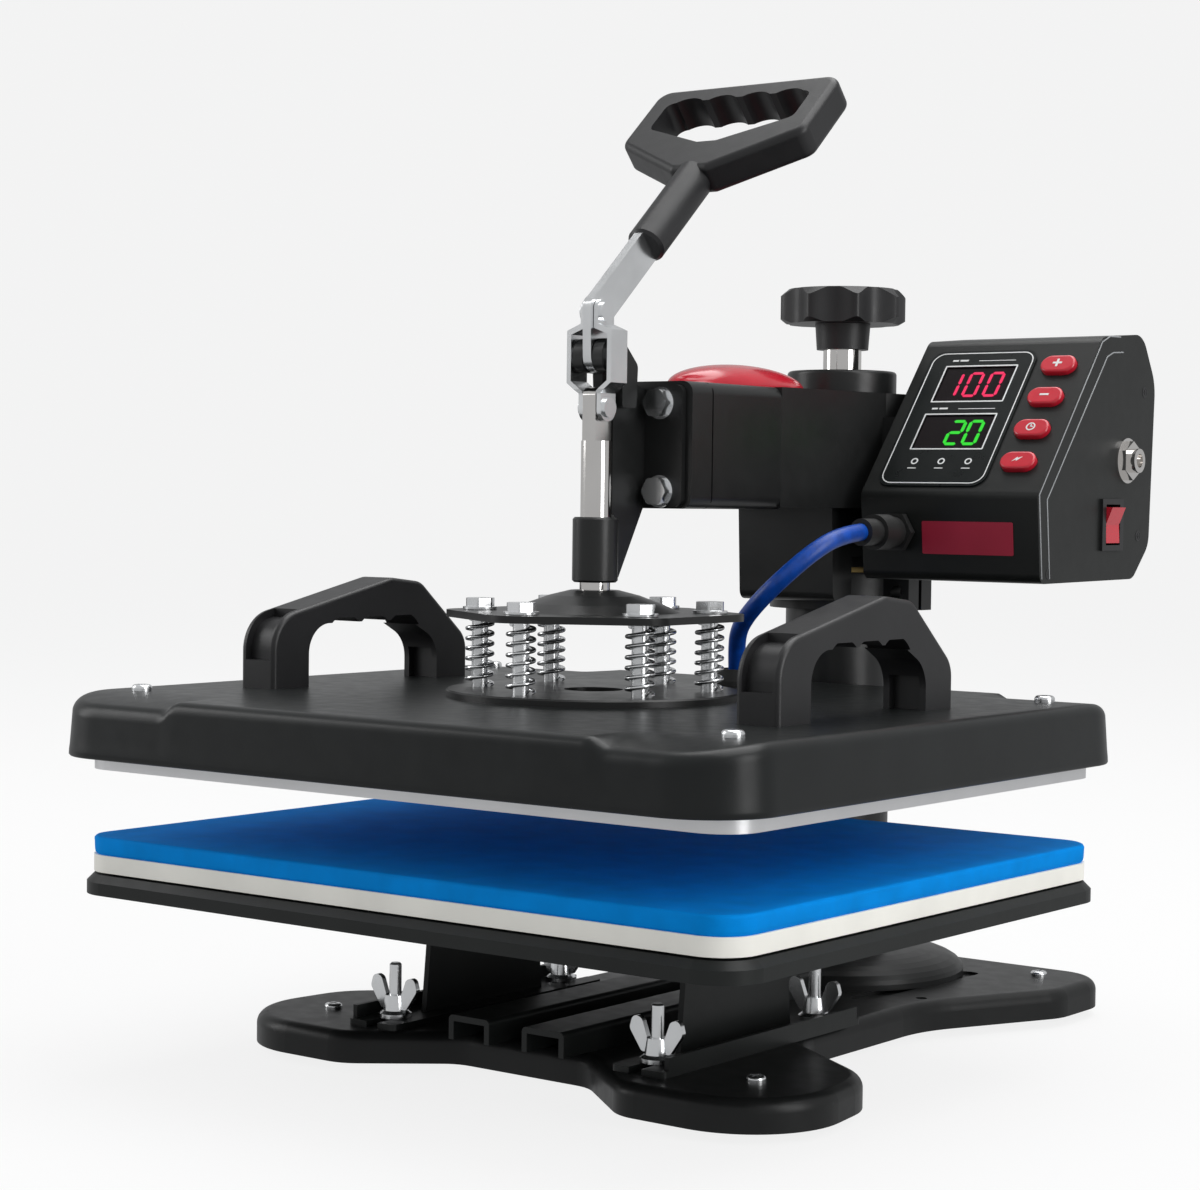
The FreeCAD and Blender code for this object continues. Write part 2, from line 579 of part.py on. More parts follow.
def make_cover():
    shell = rounded_block(COVER_X, COVER_Y, COVER_BOTTOM, COVER_TOP, COVER_CORNER)
    for side_y in (1, -1):
        shell = shell.cut(cover_dip(DIP_RIGHT, COVER_X + 1, side_y))
        shell = shell.cut(cover_dip(-COVER_X - 1, DIP_LEFT, side_y))
    shell = shell.cut(rounded_block(COVER_X - 3, COVER_Y - 3, COVER_BOTTOM - 1, COVER_ROOF, COVER_CORNER - 3))
    shell = shell.cut(rounded_block(110, COVER_Y - 14, COVER_ROOF - 1, COVER_CROWN, 10))
    shell = shell.cut(rounded_block(COVER_X - 14, 120, COVER_ROOF - 1, COVER_CROWN, 10))
    for x, y in screw_places():
        shell = shell.cut(upright(2.0, x, y, COVER_ROOF - 1, COVER_TOP + 1))
    parts["platen_cover"] = shell

    screws = []
    for x, y in screw_places():
        head = round_top(upright(5.0, x, y, COVER_TOP, COVER_TOP + 3.2), COVER_TOP + 3.2, 1.8)
        head = head.cut(block(x - 3, x + 3, y - 0.6, y + 0.6, COVER_TOP + 2, COVER_TOP + 4))
        head = head.cut(block(x - 0.6, x + 0.6, y - 3, y + 3, COVER_TOP + 2, COVER_TOP + 4))
        screws.append(head.fuse(upright(2.0, x, y, HEATER_TOP, COVER_TOP)).removeSplitter())
    parts["cover_screws"] = group(screws)


def heater_posts(radius, top):
    return [upright(radius, x, y, HEATER_TOP, top) for x in (HEATER_POST_X, -HEATER_POST_X)
            for y in (HEATER_POST_Y, -HEATER_POST_Y)]


def make_heater():
    slab = rounded_block(PLATEN_X, PLATEN_Y, HEATER_BOTTOM, HEATER_TOP, PLATEN_CORNER)
    parts["heating_plate"] = fused([slab] + heater_posts(8, COVER_CROWN))

    level = HEATER_TOP + 3.3
    bends = [(-120, 60), (-40, 60), (40, 60), (120, 60)]
    pieces = []
    for k, (x, reach) in enumerate(bends):
        pieces.append(rod(3.2, (x, -reach, level), (x, reach, level)))
        if k < 3:
            end = reach if k % 2 == 0 else -reach
            start_angle = 0 if k % 2 == 0 else 180
            bend = Part.makeTorus(40, 3.2, Vector(0, 0, 0), Vector(0, 0, 1), 0, 360, 180)
            bend.rotate(Vector(0, 0, 0), Vector(0, 0, 1), start_angle)
            bend.translate(Vector(x + 40, end, level))
            pieces.append(bend)
    parts["heating_element"] = fused(pieces)
    parts["thermostat"] = fused([upright(9, 0, 80, HEATER_TOP, HEATER_TOP + 5),
                                 block(-12, 12, 76, 84, HEATER_TOP + 5, HEATER_TOP + 6.5)])

    blanket = rounded_block(PLATEN_X - 15, PLATEN_Y - 15, HEATER_TOP + 7, COVER_ROOF - 3, 10)
    for post in heater_posts(8.5, COVER_ROOF):
        blanket = blanket.cut(post)
    for x, y in screw_places():
        blanket = blanket.cut(upright(3.0, x, y, HEATER_TOP, COVER_ROOF))
    parts["insulation_blanket"] = blanket


def make_handles():
    """Bridge handles: a slope to the crown, a steep rear, a scalloped grip, recessed ends above solid feet."""
    x0, x1 = HANDLE_X - HANDLE_HALF, HANDLE_X + HANDLE_HALF
    foot = COVER_TOP
    front, rear = -80, 68
    outer = profile([(front, foot, 0), (rear, foot, 0), (rear, 204, 14), (31, 234.5, 12), (8, 237, 12),
                     (front, 217.7, 20)], x0, x1)
    rims = [e for e in outer.Edges if e.BoundBox.XLength < 0.01 and e.BoundBox.ZMax > foot + 1]
    outer = outer.makeFillet(2.4, rims)
    opening = profile([(-55, foot - 1, 0), (43, foot - 1, 0), (43, 203, 16), (20, 215, 12), (-55, 214.5, 15)],
                      x0 - 1, x1 + 1)
    right = outer.cut(opening)
    for y in (-28, -6, 16):
        scallop = crossways(15, y, 203.5, x0 - 1, x1 + 1)
        right = right.cut(scallop.common(block(x0 - 1, x1 + 1, -45, 33, 212, 217.2)))
    rim, depth = 3.4, 4
    core = profile([(front + depth, foot, 0), (60, foot, 0), (60, 244.3, 0), (front + depth, 214.5, 16)], x0, x1)
    right = right.cut(block(x0 + rim, x1 - rim, front - 1, -60, foot + 14, 230).cut(core))
    right = right.cut(block(x0 + rim, x1 - rim, 42, 43 + depth, foot - 1, 200))
    parts["handle_right"] = right
    parts["handle_left"] = mirrored(right)


def make_grommet():
    x, y = GROMMET
    parts["cable_grommet"] = turned([(5.8, COVER_TOP), (12, COVER_TOP), (12, COVER_TOP + 3),
                                     (10, COVER_TOP + 9), (7.8, COVER_TOP + 9)], x, y)


# --------------------------------- control box ------------------------------
def slope_placement():
    """Origin at the foot of the sloping face, local X across, Y up the slope."""
    run = Vector(0, SLOPE_HEAD[0] - SLOPE_FOOT[0], SLOPE_HEAD[1] - SLOPE_FOOT[1])
    tilt = math.degrees(math.atan2(run.z, run.y))
    return FreeCAD.Placement(Vector(0, SLOPE_FOOT[0], SLOPE_FOOT[1]), FreeCAD.Rotation(Vector(1, 0, 0), tilt))


def on_slope(shape):
    moved = shape.copy()
    moved.Placement = slope_placement().multiply(moved.Placement)
    return moved


def box_corners(inset=0.0):
    return [(172 + inset, 239 + inset, 5), (SLOPE_FOOT[0] + inset, SLOPE_FOOT[1] + inset * 0.4, 5),
            (SLOPE_HEAD[0] + inset * 0.5, SLOPE_HEAD[1] - inset * 0.6, 9),
            (283 - inset * 0.5, 371 - inset, 14), (299 - inset, 345 - inset * 0.4, 24),
            (294.5 - inset, 258 + inset * 0.3, 14), (276 - inset * 0.3, 240 + inset, 10)]


def make_control_box():
    shell = profile(box_corners(), BOX_LEFT, BOX_RIGHT - BOX_WALL)
    shell = shell.cut(profile(box_corners(BOX_WALL), BOX_LEFT + BOX_WALL, BOX_RIGHT))
    window = on_slope(block(66, 108, 30, 88, -10, 10))
    shell = shell.cut(window)
    shell = shell.cut(rod(8.0, (SOCKET_X, 160, SOCKET_Z), (SOCKET_X, 180, SOCKET_Z)))
    for station in BUTTON_STATIONS.values():
        shell = shell.cut(on_slope(plate(pill(station, 0.3), -10, 10)))
    parts["control_case"] = shell

    cheek = profile(box_corners(), BOX_RIGHT - BOX_WALL, BOX_RIGHT)
    cheek = cheek.cut(rod(9.0, (140, FUSE_Y, FUSE_Z), (160, FUSE_Y, FUSE_Z)))
    cheek = cheek.cut(block(140, 160, 239, 259, ROCKER_Z - 11.8, ROCKER_Z + 11.8))
    parts["control_side_cover"] = cheek

    facia = plate([(54, 5, 8), (118, 5, 8), (118, 99, 8), (54, 99, 8)], 0, 0.8)
    for low, high in ((63, 88), (30, 54)):
        facia = facia.cut(block(66, 108, low, high, -1, 2))
    parts["control_panel"] = on_slope(facia)
    lens = block(66, 108, 30, 88, -2.4, 0)
    parts["display_window"] = on_slope(lens)
    board = block(52, 146, 8, 98, -13, -11.4)
    modules = [block(68, 106, low, high, -11.4, -3.5) for low, high in ((64, 87), (31, 53))]
    parts["circuit_board"] = on_slope(fused([board] + modules))


def pill(station, gap=0.0):
    half_x, half_y = 10.0 + gap, 5.8 + gap
    radius = half_y - 0.05
    return [(BUTTON_X - half_x, station - half_y, radius), (BUTTON_X + half_x, station - half_y, radius),
            (BUTTON_X + half_x, station + half_y, radius), (BUTTON_X - half_x, station + half_y, radius)]


def make_controls():
    for name, station in BUTTON_STATIONS.items():
        cap = plate(pill(station), -8.0, 3.2)
        cap = round_top(cap, 3.2, 1.4)
        parts[name] = on_slope(cap)

    # Rocker switch: fixed bezel ring and the rocker that tilts in it
    bezel = block(BOX_RIGHT - 14, BOX_RIGHT, 239, 259, ROCKER_Z - 11.8, ROCKER_Z + 11.8)
    bezel = bezel.fuse(block(BOX_RIGHT, BOX_RIGHT + 1.6, 237, 261, ROCKER_Z - 13.6, ROCKER_Z + 13.6))
    bezel = bezel.cut(block(BOX_RIGHT - 12, BOX_RIGHT + 3, 241, 257, ROCKER_Z - 10.7, ROCKER_Z + 10.7))
    bezel = bezel.cut(rod(1.55, (ROCKER_X, 240.2, ROCKER_Z), (ROCKER_X, 257.8, ROCKER_Z)))
    parts["switch_body"] = bezel
    points = [(-4, -9.6), (3.6, -9.6), (3.2, 0), (7.0, 9.2), (-4, 9.6)]
    rocker = Part.makePolygon([Vector(ROCKER_X + x, 241.4, ROCKER_Z + z) for x, z in points + points[:1]])
    rocker = Part.Face(rocker).extrude(Vector(0, 15.2, 0))
    axle = rod(1.5, (ROCKER_X, 240.4, ROCKER_Z), (ROCKER_X, 257.6, ROCKER_Z))
    parts["power_rocker"] = rocker.fuse(axle).removeSplitter()

    def along(start, end, radius):
        return rod(radius, (BOX_RIGHT + start, FUSE_Y, FUSE_Z), (BOX_RIGHT + end, FUSE_Y, FUSE_Z))

    holder = along(-18, 0, 8.9).fuse(along(0, 1.6, 12.0))
    holder = holder.fuse(hex_prism(18.0, (BOX_RIGHT + 1.6, FUSE_Y, FUSE_Z), (1, 0, 0), 3.2))
    holder = holder.fuse(along(4.8, 8.4, 6.4)).cut(along(4.4, 9, 3.6))
    parts["fuse_holder"] = holder.removeSplitter()


def make_socket():
    x, z = SOCKET_X, SOCKET_Z
    front = 171.0
    socket = rod(8.0, (x, front - 6, z), (x, front + 14, z))
    nut = hex_prism(19.0, (x, front - 6.7, z), (0, 1, 0), 4.0)
    thread = rod(8.0, (x, front - 14, z), (x, front, z))
    parts["cable_socket"] = fused([socket, nut, thread]).cut(rod(6.0, (x, front - 15, z), (x, front - 2, z)))
    tip = CABLE_ROUTE[0][1]
    shell = rod(6.0, (x, tip + 8, z), (x, front - 4, z))
    shell = shell.fuse(rod(9.2, (x, tip + 12, z), (x, front - 14, z)))
    shell = shell.fuse(rod(7.0, (x, tip, z), (x, tip + 12, z)))
    parts["cable_plug"] = shell.removeSplitter()


def make_cable():
    """Tube on straight runs joined by tangent arcs, each 0.45 of its shorter run."""
    points = [Vector(*p) for p in CABLE_ROUTE]
    edges = []
    start = points[0]
    for i in range(1, len(points) - 1):
        back, ahead = points[i - 1] - points[i], points[i + 1] - points[i]
        reach = 0.45 * min(back.Length, ahead.Length)
        back.normalize()
        ahead.normalize()
        half = back.getAngle(ahead) / 2
        radius = reach * math.tan(half)
        print("cable bend radius %.1f mm" % radius)
        middle = (back + ahead).normalize() * (radius / math.sin(half) - radius)
        arrive, leave = points[i] + back * reach, points[i] + ahead * reach
        edges.append(Part.LineSegment(start, arrive).toShape())
        edges.append(Part.Arc(arrive, points[i] + middle, leave).toShape())
        start = leave
    edges.append(Part.LineSegment(start, points[-1]).toShape())
    path = Part.Wire(edges)
    section = Part.Wire(Part.makeCircle(CABLE_RADIUS, points[0], points[1] - points[0]))
    tube = path.makePipeShell([section], True, False)
    print("cable length %.1f mm" % path.Length)
    parts["heater_cable"] = tube


# ------------------------------ adjusting knob ------------------------------
def make_knob():
    lobes = 8
    outline = []
    for k in range(lobes):
        angle = 2 * math.pi * k / lobes
        valley = angle + math.pi / lobes
        outline.append((KNOB_RADIUS, angle))
        outline.append((KNOB_RADIUS - 5.5, valley))
    points = [Vector(r * math.cos(a), COLUMN_Y + r * math.sin(a), KNOB_BOTTOM) for r, a in outline]
    curve = Part.BSplineCurve()
    curve.interpolate(points, PeriodicFlag=True)
    wheel = Part.Face(Part.Wire(curve.toShape())).extrude(Vector(0, 0, KNOB_TOP - KNOB_BOTTOM))
    wheel = wheel.common(turned([(0, KNOB_BOTTOM), (31, KNOB_BOTTOM), (36, KNOB_BOTTOM + 3), (36, KNOB_TOP - 5),
                                 (30, KNOB_TOP), (0, KNOB_TOP)], 0, COLUMN_Y))
    hub = turned([(0, 363), (14.2, 363), (15.2, KNOB_BOTTOM), (0, KNOB_BOTTOM)], 0, COLUMN_Y)
    knob = fused([wheel, hub]).cut(upright(10.5, 0, COLUMN_Y, 362, KNOB_BOTTOM + 3))
    parts["pressure_knob"] = knob
    screw = upright(10.5, 0, COLUMN_Y, 309, KNOB_BOTTOM + 3)
    parts["knob_screw"] = screw.makeChamfer(1.0, edges_at(screw, 309))


def make_all():
    make_base()
    make_rails()
    make_brackets()
    make_studs()
    make_wing_nuts()
    make_column()
    make_lower_platen()
    make_bush()
    make_arm()
    make_arm_cap()
    make_collar()
    make_toggle_bracket()
    make_lever()
    make_links()
    make_plunger()
    make_spring_stack()
    make_cover()
    make_heater()
    make_handles()
    make_grommet()
    make_control_box()
    make_controls()
    make_socket()
    make_cable()
    make_knob()


make_all()
os.makedirs("parts", exist_ok=True)
for name, shape in parts.items():
    shape.translate(Vector(0, -FOOTPRINT_MIDDLE, 0))
    shape.exportStep(os.path.join("parts", name + ".step"))
print(len(parts), "parts written")
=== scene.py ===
import json
import math

import bpy
from mathutils import Matrix, Vector


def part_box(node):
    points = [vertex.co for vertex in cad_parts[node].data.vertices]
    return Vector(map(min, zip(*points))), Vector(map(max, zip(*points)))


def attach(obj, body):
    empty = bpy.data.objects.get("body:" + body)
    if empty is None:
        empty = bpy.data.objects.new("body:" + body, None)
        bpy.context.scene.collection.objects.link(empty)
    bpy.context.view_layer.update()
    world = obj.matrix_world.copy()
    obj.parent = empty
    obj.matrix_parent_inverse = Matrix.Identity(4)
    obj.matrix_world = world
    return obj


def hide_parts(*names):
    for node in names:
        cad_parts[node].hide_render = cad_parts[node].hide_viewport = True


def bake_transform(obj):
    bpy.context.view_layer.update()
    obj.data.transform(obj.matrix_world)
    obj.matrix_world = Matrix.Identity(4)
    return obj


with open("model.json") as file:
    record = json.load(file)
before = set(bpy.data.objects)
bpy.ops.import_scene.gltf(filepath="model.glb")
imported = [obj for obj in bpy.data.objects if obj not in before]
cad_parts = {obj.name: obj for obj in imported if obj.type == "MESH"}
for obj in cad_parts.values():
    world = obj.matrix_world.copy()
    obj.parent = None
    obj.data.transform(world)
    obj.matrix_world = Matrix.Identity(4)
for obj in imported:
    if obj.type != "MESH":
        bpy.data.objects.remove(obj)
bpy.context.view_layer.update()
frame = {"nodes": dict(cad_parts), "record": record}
nodes = frame["nodes"]

# The plunger's axis, which the platens are centred on
SHAFT_Y = (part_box("plunger_rod")[0].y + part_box("plunger_rod")[1].y) / 2


# ------------------------------- camera and light ---------------------------
CAMERA_PLACE = (0.788, SHAFT_Y - 1.0269, 0.2806)
CAMERA_AZIMUTH = 0.6525
CAMERA_PITCH = -0.0371
CAMERA_ROLL = 0.0125
CAMERA_LENS = 79.68
LIGHT_TARGET = (0, 0, 0.2)


def add_camera():
    data = bpy.data.cameras.new("camera")
    data.lens = CAMERA_LENS
    data.sensor_width = 36
    data.clip_end = 100
    camera = bpy.data.objects.new("camera", data)
    bpy.context.scene.collection.objects.link(camera)
    turn = (Matrix.Rotation(CAMERA_AZIMUTH, 4, "Z") @ Matrix.Rotation(math.pi / 2 + CAMERA_PITCH, 4, "X")
            @ Matrix.Rotation(CAMERA_ROLL, 4, "Z"))
    camera.matrix_world = Matrix.Translation(CAMERA_PLACE) @ turn
    bpy.context.scene.camera = camera


def add_softbox(name, place, size, power):
    data = bpy.data.lights.new(name, "AREA")
    data.shape = "RECTANGLE"
    data.size, data.size_y = size
    data.energy = power
    lamp = bpy.data.objects.new(name, data)
    bpy.context.scene.collection.objects.link(lamp)
    lamp.location = place
    lamp.rotation_euler = (Vector(LIGHT_TARGET) - Vector(place)).to_track_quat("-Z", "Y").to_euler()


def add_backdrop():
    """A pale floor that curves up into a wall all round: no horizon, and no light thrown back."""
    around, steps = 96, 12
    flat_radius, bend_radius = 9.0, 5.0
    rings = [(0.02, 0.0), (2.0, 0.0), (5.0, 0.0), (flat_radius, 0.0)]
    for step in range(1, steps + 1):
        turn = math.pi / 2 * step / steps
        rings.append((flat_radius + bend_radius * math.sin(turn), bend_radius * (1 - math.cos(turn))))
    rings.append((flat_radius + bend_radius, 4 * bend_radius))
    points = []
    for reach, level in rings:
        points += [(reach * math.cos(math.tau * k / around), reach * math.sin(math.tau * k / around), level)
                   for k in range(around)]
    mesh = bpy.data.meshes.new("floor")
    mesh.from_pydata(points, [], bridge(around, len(rings), True, False))
    mesh.shade_smooth()
    floor = bpy.data.objects.new("floor", mesh)
    bpy.context.scene.collection.objects.link(floor)
    floor.data.materials.append(glowing_white("floor_white"))
    floor.visible_diffuse = False
    floor.visible_glossy = False


def add_studio():
    world = bpy.data.worlds.new("studio")
    world.use_nodes = True
    background = world.node_tree.nodes["Background"]
    background.inputs["Color"].default_value = (0.94, 0.95, 0.96, 1)
    background.inputs["Strength"].default_value = 0.5
    bpy.context.scene.world = world
    bpy.context.scene.view_settings.view_transform = "Standard"
    add_softbox("top_softbox", (0.2, 0.5, 2.2), (2.6, 1.6), 38)
    add_softbox("left_softbox", (-1.9, -1.0, 1.1), (0.9, 1.6), 13)
    add_softbox("right_softbox", (2.0, -0.1, 0.9), (0.9, 1.8), 19)
    add_backdrop()


# ----------------------------------- materials ------------------------------
def glowing_white(name):
    """Matt white that also gives off a little light, so that floor and wall look equally bright."""
    material = bpy.data.materials.new(name)
    material.use_nodes = True
    shader = material.node_tree.nodes["Principled BSDF"]
    shader.inputs["Base Color"].default_value = (0.12, 0.12, 0.12, 1)
    shader.inputs["Roughness"].default_value = 1.0
    shader.inputs["Specular IOR Level"].default_value = 0.0
    shader.inputs["Emission Color"].default_value = (1.0, 1.0, 1.0, 1)
    shader.inputs["Emission Strength"].default_value = 0.84
    return material


def surface(name, colour, roughness, metallic=0.0, mottle=0.15, mottle_scale=30.0, rough_spread=0.08,
            grain=900.0, grain_depth=0.00002, stretch=(1, 1, 1), coat=0.0, sheen=0.0,
            specular=0.5):
    """Principled material with colour variation, uneven roughness and a fine relief, in object space."""
    material = bpy.data.materials.new(name)
    material.use_nodes = True
    tree = material.node_tree
    shader = tree.nodes["Principled BSDF"]
    shader.inputs["Metallic"].default_value = metallic
    shader.inputs["Coat Weight"].default_value = coat
    shader.inputs["Coat Roughness"].default_value = 0.12
    shader.inputs["Sheen Weight"].default_value = sheen
    shader.inputs["Specular IOR Level"].default_value = specular
    place = tree.nodes.new("ShaderNodeTexCoord")
    mapping = tree.nodes.new("ShaderNodeMapping")
    mapping.inputs["Scale"].default_value = stretch
    tree.links.new(place.outputs["Object"], mapping.inputs["Vector"])

    def noise(scale, detail, vector):
        node = tree.nodes.new("ShaderNodeTexNoise")
        node.inputs["Scale"].default_value = scale
        node.inputs["Detail"].default_value = detail
        tree.links.new(vector, node.inputs["Vector"])
        return node.outputs["Fac"]

    broad = noise(mottle_scale, 3, place.outputs["Object"])
    ramp = tree.nodes.new("ShaderNodeValToRGB")
    dark = tuple(c * (1 - mottle) for c in colour)
    light = tuple(min(1, c * (1 + mottle)) for c in colour)
    ramp.color_ramp.elements[0].position = 0.3
    ramp.color_ramp.elements[0].color = (*dark, 1)
    ramp.color_ramp.elements[1].position = 0.7
    ramp.color_ramp.elements[1].color = (*light, 1)
    tree.links.new(broad, ramp.inputs["Fac"])
    tree.links.new(ramp.outputs["Color"], shader.inputs["Base Color"])

    uneven = noise(mottle_scale * 4, 4, mapping.outputs["Vector"])
    spread = tree.nodes.new("ShaderNodeMapRange")
    spread.inputs["To Min"].default_value = max(0.02, roughness - rough_spread)
    spread.inputs["To Max"].default_value = min(1.0, roughness + rough_spread)
    tree.links.new(uneven, spread.inputs["Value"])
    tree.links.new(spread.outputs["Result"], shader.inputs["Roughness"])

    fine = noise(grain, 2, mapping.outputs["Vector"])
    bump = tree.nodes.new("ShaderNodeBump")
    bump.inputs["Strength"].default_value = 1.0
    bump.inputs["Distance"].default_value = grain_depth
    tree.links.new(fine, bump.inputs["Height"])
    tree.links.new(bump.outputs["Normal"], shader.inputs["Normal"])
    return material


def glow(name, colour, strength):
    """Lit display segments: a coloured surface that also emits a little."""
    material = surface(name, colour, 0.35, mottle=0.1)
    shader = material.node_tree.nodes["Principled BSDF"]
    shader.inputs["Emission Color"].default_value = (*colour, 1)
    shader.inputs["Emission Strength"].default_value = strength
    return material


BRUSHED_UPRIGHT, BRUSHED_ACROSS = (1, 1, 0.06), (0.05, 1, 1)
FINISHES = {
    "base_paint": dict(colour=(0.010, 0.0105, 0.0105), roughness=0.36, specular=0.26, grain=1300,
                       grain_depth=0.00002),
    "frame_paint": dict(colour=(0.011, 0.0125, 0.012), roughness=0.4, specular=0.3, grain=1300,
                        grain_depth=0.00002),
    "cover_paint": dict(colour=(0.0095, 0.0108, 0.011), roughness=0.33, specular=0.28, grain=1500,
                        grain_depth=0.000025),
    "cast_paint": dict(colour=(0.012, 0.0125, 0.0125), roughness=0.32, specular=0.45, grain=1000,
                       grain_depth=0.000025),
    "case_paint": dict(colour=(0.010, 0.011, 0.0105), roughness=0.38, specular=0.34, grain=1700,
                       grain_depth=0.000018),
    "zinc_steel": dict(colour=(0.9, 0.91, 0.92), roughness=0.24, metallic=1.0, mottle=0.08, grain=700,
                       grain_depth=0.00001, stretch=BRUSHED_UPRIGHT),
    "chrome": dict(colour=(0.78, 0.76, 0.74), roughness=0.09, metallic=1.0, mottle=0.04, rough_spread=0.04,
                   grain=400, grain_depth=0.000002, stretch=(1, 1, 0.1)),
    "foot_rubber": dict(colour=(0.012, 0.012, 0.012), roughness=0.75, grain=1200, grain_depth=0.00004),
    "board_white": dict(colour=(0.93, 0.915, 0.85), roughness=0.6, mottle=0.05, grain=500,
                        grain_depth=0.00003),
    "silicone_blue": dict(colour=(0.0, 0.255, 0.76), roughness=0.75, specular=0.06, mottle=0.08,
                          mottle_scale=60, grain=1100, grain_depth=0.00006),
    "aluminium": dict(colour=(0.82, 0.82, 0.83), roughness=0.34, metallic=0.9, mottle=0.04, grain=600,
                      grain_depth=0.00002, stretch=BRUSHED_ACROSS),
    "red_plastic": dict(colour=(0.56, 0.012, 0.03), roughness=0.22, mottle=0.06, coat=0.5, grain=300,
                        grain_depth=0.000005),
    "black_plastic": dict(colour=(0.012, 0.012, 0.013), roughness=0.4, grain=1400, grain_depth=0.00003),
    "facia": dict(colour=(0.004, 0.006, 0.006), roughness=0.3, specular=0.25, grain=200,
                  grain_depth=0.000003),
    "display": dict(colour=(0.006, 0.003, 0.004), roughness=0.2, specular=0.2, grain=100,
                    grain_depth=0.000001),
    "brass": dict(colour=(0.7, 0.5, 0.2), roughness=0.3, metallic=1.0),
    "blanket": dict(colour=(0.75, 0.73, 0.68), roughness=0.95, grain=300, grain_depth=0.0004, sheen=0.3),
    "circuit": dict(colour=(0.01, 0.16, 0.06), roughness=0.35, grain=300, grain_depth=0.0001),
    "cable_blue": dict(colour=(0.0, 0.06, 0.38), roughness=0.38, mottle=0.2, mottle_scale=200, grain=900,
                       grain_depth=0.0001),
    "plug_black": dict(colour=(0.014, 0.014, 0.014), roughness=0.5, grain=900, grain_depth=0.00004),
    "sheath": dict(colour=(0.4, 0.38, 0.35), roughness=0.4, metallic=1.0),
    "white_ink": dict(colour=(0.75, 0.76, 0.76), roughness=0.5, mottle=0.05),
    # Grey of the two side-cover lines; on the outer line this grey is a painted highlight of the edge's
    # rounding.
    "edge_highlight_and_line_grey": dict(colour=(0.3, 0.31, 0.32), roughness=0.35, mottle=0.1),
    "label_red": dict(colour=(0.42, 0.018, 0.05), roughness=0.4, mottle=0.1),
}


def make_materials():
    made = {name: surface(name, **finish) for name, finish in FINISHES.items()}
    made["red_glow"] = glow("red_glow", (0.62, 0.004, 0.07), 0.55)
    made["green_glow"] = glow("green_glow", (0.01, 0.5, 0.012), 0.6)
    return made


def paint_frame(materials):
    """Every CAD node takes the material of its slot."""
    for entry in frame["record"]["subparts"]:
        node = nodes[entry["node"]]
        node.data.materials.clear()
        node.data.materials.append(materials[entry["material_slot"]])


# --------------------------------- mesh helpers -----------------------------
def add_mesh(name, points, faces, slot, body, smooth=True, replaces=(), paint=None):
    """A new piece of the object, riding on a body and finished as its slot says."""
    mesh = bpy.data.meshes.new(name)
    mesh.from_pydata([tuple(p) for p in points], [], faces)
    mesh.validate()
    mesh.materials.append(paint or materials[slot])
    mesh.shade_smooth() if smooth else mesh.shade_flat()
    piece = bpy.data.objects.new(name, mesh)
    bpy.context.scene.collection.objects.link(piece)
    if body:
        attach(piece, body)
    if replaces:
        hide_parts(*replaces)
    return piece


def sharpen(piece, degrees=35):
    """Keeps edges sharper than the angle crisp and shades the rest smoothly."""
    piece.data.set_sharp_from_angle(angle=math.radians(degrees))


def rounded_loop(half_x, half_y, radius, per_corner=14, per_side=26):
    """Points round a rectangle with rounded corners, anticlockwise, always the same count."""
    radius = max(min(radius, half_x - 0.0001, half_y - 0.0001), 0.0001)
    loop = []
    corners = [(half_x, -half_y, -90), (half_x, half_y, 0), (-half_x, half_y, 90), (-half_x, -half_y, 180)]
    for k, (x, y, start) in enumerate(corners):
        middle = Vector((x - math.copysign(radius, x), y - math.copysign(radius, y)))
        for step in range(per_corner + 1):
            turn = math.radians(start + 90 * step / per_corner)
            loop.append(middle + radius * Vector((math.cos(turn), math.sin(turn))))
        next_x, next_y, next_start = corners[(k + 1) % 4]
        opening = math.radians(next_start)
        goal = Vector((next_x - math.copysign(radius, next_x), next_y - math.copysign(radius, next_y)))
        goal += radius * Vector((math.cos(opening), math.sin(opening)))
        last = loop[-1].copy()
        for step in range(1, per_side):
            loop.append(last.lerp(goal, step / per_side))
    return loop


def bridge(count, rings, closed_start=False, closed_end=False):
    """Faces between rings of count points each, with the first or last ring filled in if asked."""
    faces = []
    for ring in range(rings - 1):
        here, above = ring * count, (ring + 1) * count
        for k in range(count):
            after = (k + 1) % count
            faces.append((here + k, here + after, above + after, above + k))
    if closed_start:
        faces.append(tuple(range(count - 1, -1, -1)))
    if closed_end:
        faces.append(tuple((rings - 1) * count + k for k in range(count)))
    return faces


def extruded(outline, place, low, high):
    """Points and faces of a flat shape (a, b) between two heights; place(a, b, h) gives the point."""
    points = [place(a, b, low) for a, b in outline] + [place(a, b, high) for a, b in outline]
    return points, bridge(len(outline), 2, True, True)


def joined(parts):
    """Several (points, faces) put together as one."""
    points, faces = [], []
    for some_points, some_faces in parts:
        start = len(points)
        points += some_points
        faces += [tuple(start + k for k in face) for face in some_faces]
    return points, faces


def frame_strip(outer, inner, place, low, high):
    """A flat closed band between two loops of the same count."""
    count = len(outer)
    points = [place(a, b, low) for a, b in outer] + [place(a, b, high) for a, b in outer]
    points += [place(a, b, high) for a, b in inner] + [place(a, b, low) for a, b in inner]
    faces = bridge(count, 4)
    for k in range(count):
        after = (k + 1) % count
        faces.append((3 * count + k, 3 * count + after, after, k))
    return points, faces


# --------------------------------- upper platen -----------------------------
def smoothstep(value):
    value = min(1.0, max(0.0, value))
    return value * value * (3 - 2 * value)


COVER_CORNER, COVER_RIM, COVER_WALL, COVER_DRAFT = 0.035, 0.006, 0.0025, 0.0016
DIP_LEFT, DIP_RIGHT, DIP_SLOPE = -0.1115, 0.1295, 0.009
DIP_DEPTH, DIP_REACH = 0.0056, 0.042


